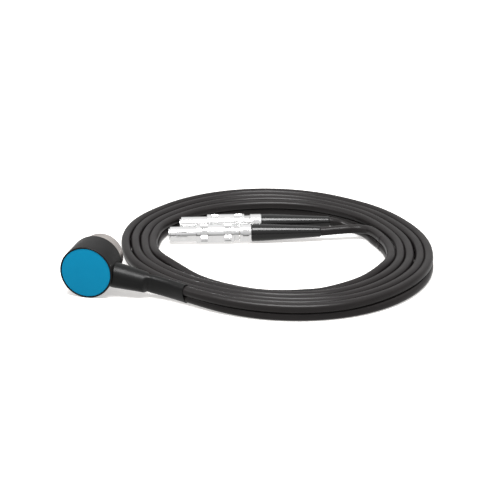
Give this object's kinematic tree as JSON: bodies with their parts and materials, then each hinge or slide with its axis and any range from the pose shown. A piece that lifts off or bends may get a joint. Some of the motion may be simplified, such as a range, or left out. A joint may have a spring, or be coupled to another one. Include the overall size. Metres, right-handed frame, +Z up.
{
  "type": "ultrasonic transducer",
  "caption": "Round contact probe for measuring wall thickness, lying on its side, with a coiled flat lead that splits into single cords with slim push-pull plugs.",
  "frame": {"origin": "on the table, under the middle of the probe", "axes": "+Y along the probe's axis from the label cap to the wear face, +X the way the cable leaves the probe, +Z up from the table"},
  "size_m": [0.1081, 0.1028, 0.0165],
  "materials": {
    "housing": "black moulded abs, fine texture",
    "label": "plain blue film",
    "steel": "fine turned stainless steel",
    "delay": "lapped amber polyetherimide",
    "cork": "cork sheet",
    "piezo": "silvered ceramic",
    "backing": "tungsten-loaded epoxy",
    "board": "glass-epoxy laminate",
    "ferrite": "ferrite bobbin",
    "brass": "turned brass",
    "shrink": "shrunk polyolefin sleeve, half gloss",
    "jacket": "soft pvc jacket, satin",
    "plating": "brass with satin chrome plating",
    "insulator": "white ptfe",
    "contact": "gold-plated pin",
    "boot": "moulded polyurethane, satin"
  },
  "bodies": {
    "probe_and_lead": {"housing": "housing", "label_plate": "label", "nose_ring": "steel", "delay_line_left": "delay", "delay_line_right": "delay", "piezo_element_left": "piezo", "piezo_element_right": "piezo", "backing_block_left": "backing", "backing_block_right": "backing", "cork_barrier": "cork", "wiring_board": "board", "tuning_inductor_left": "ferrite", "tuning_inductor_right": "ferrite", "cable_ferrule": "brass", "relief_sleeve": "shrink", "cable_entry": "jacket", "cable_coil": "jacket", "lead_front": "jacket", "lead_rear": "jacket", "plug_front_latch_sleeve": "plating", "plug_front_core": "plating", "plug_front_insulator": "insulator", "plug_front_centre_contact": "contact", "plug_front_back_nut": "plating", "plug_front_collet": "brass", "plug_front_boot": "boot", "plug_rear_latch_sleeve": "plating", "plug_rear_core": "plating", "plug_rear_insulator": "insulator", "plug_rear_centre_contact": "contact", "plug_rear_back_nut": "plating", "plug_rear_collet": "brass", "plug_rear_boot": "boot"},
    "front_release": {"plug_front_release_sleeve": "plating"},
    "rear_release": {"plug_rear_release_sleeve": "plating"}
  },
  "joints": [
    {"name": "front_release_slide", "type": "slide", "parent": "probe_and_lead", "child": "front_release", "axis": [0.9583, 0.2857, 0], "range_m": [0, 0.0012], "stiffness_N_per_m": 300},
    {"name": "rear_release_slide", "type": "slide", "parent": "probe_and_lead", "child": "rear_release", "axis": [0.9583, 0.2857, 0], "range_m": [0, 0.0012], "stiffness_N_per_m": 300}
  ]
}
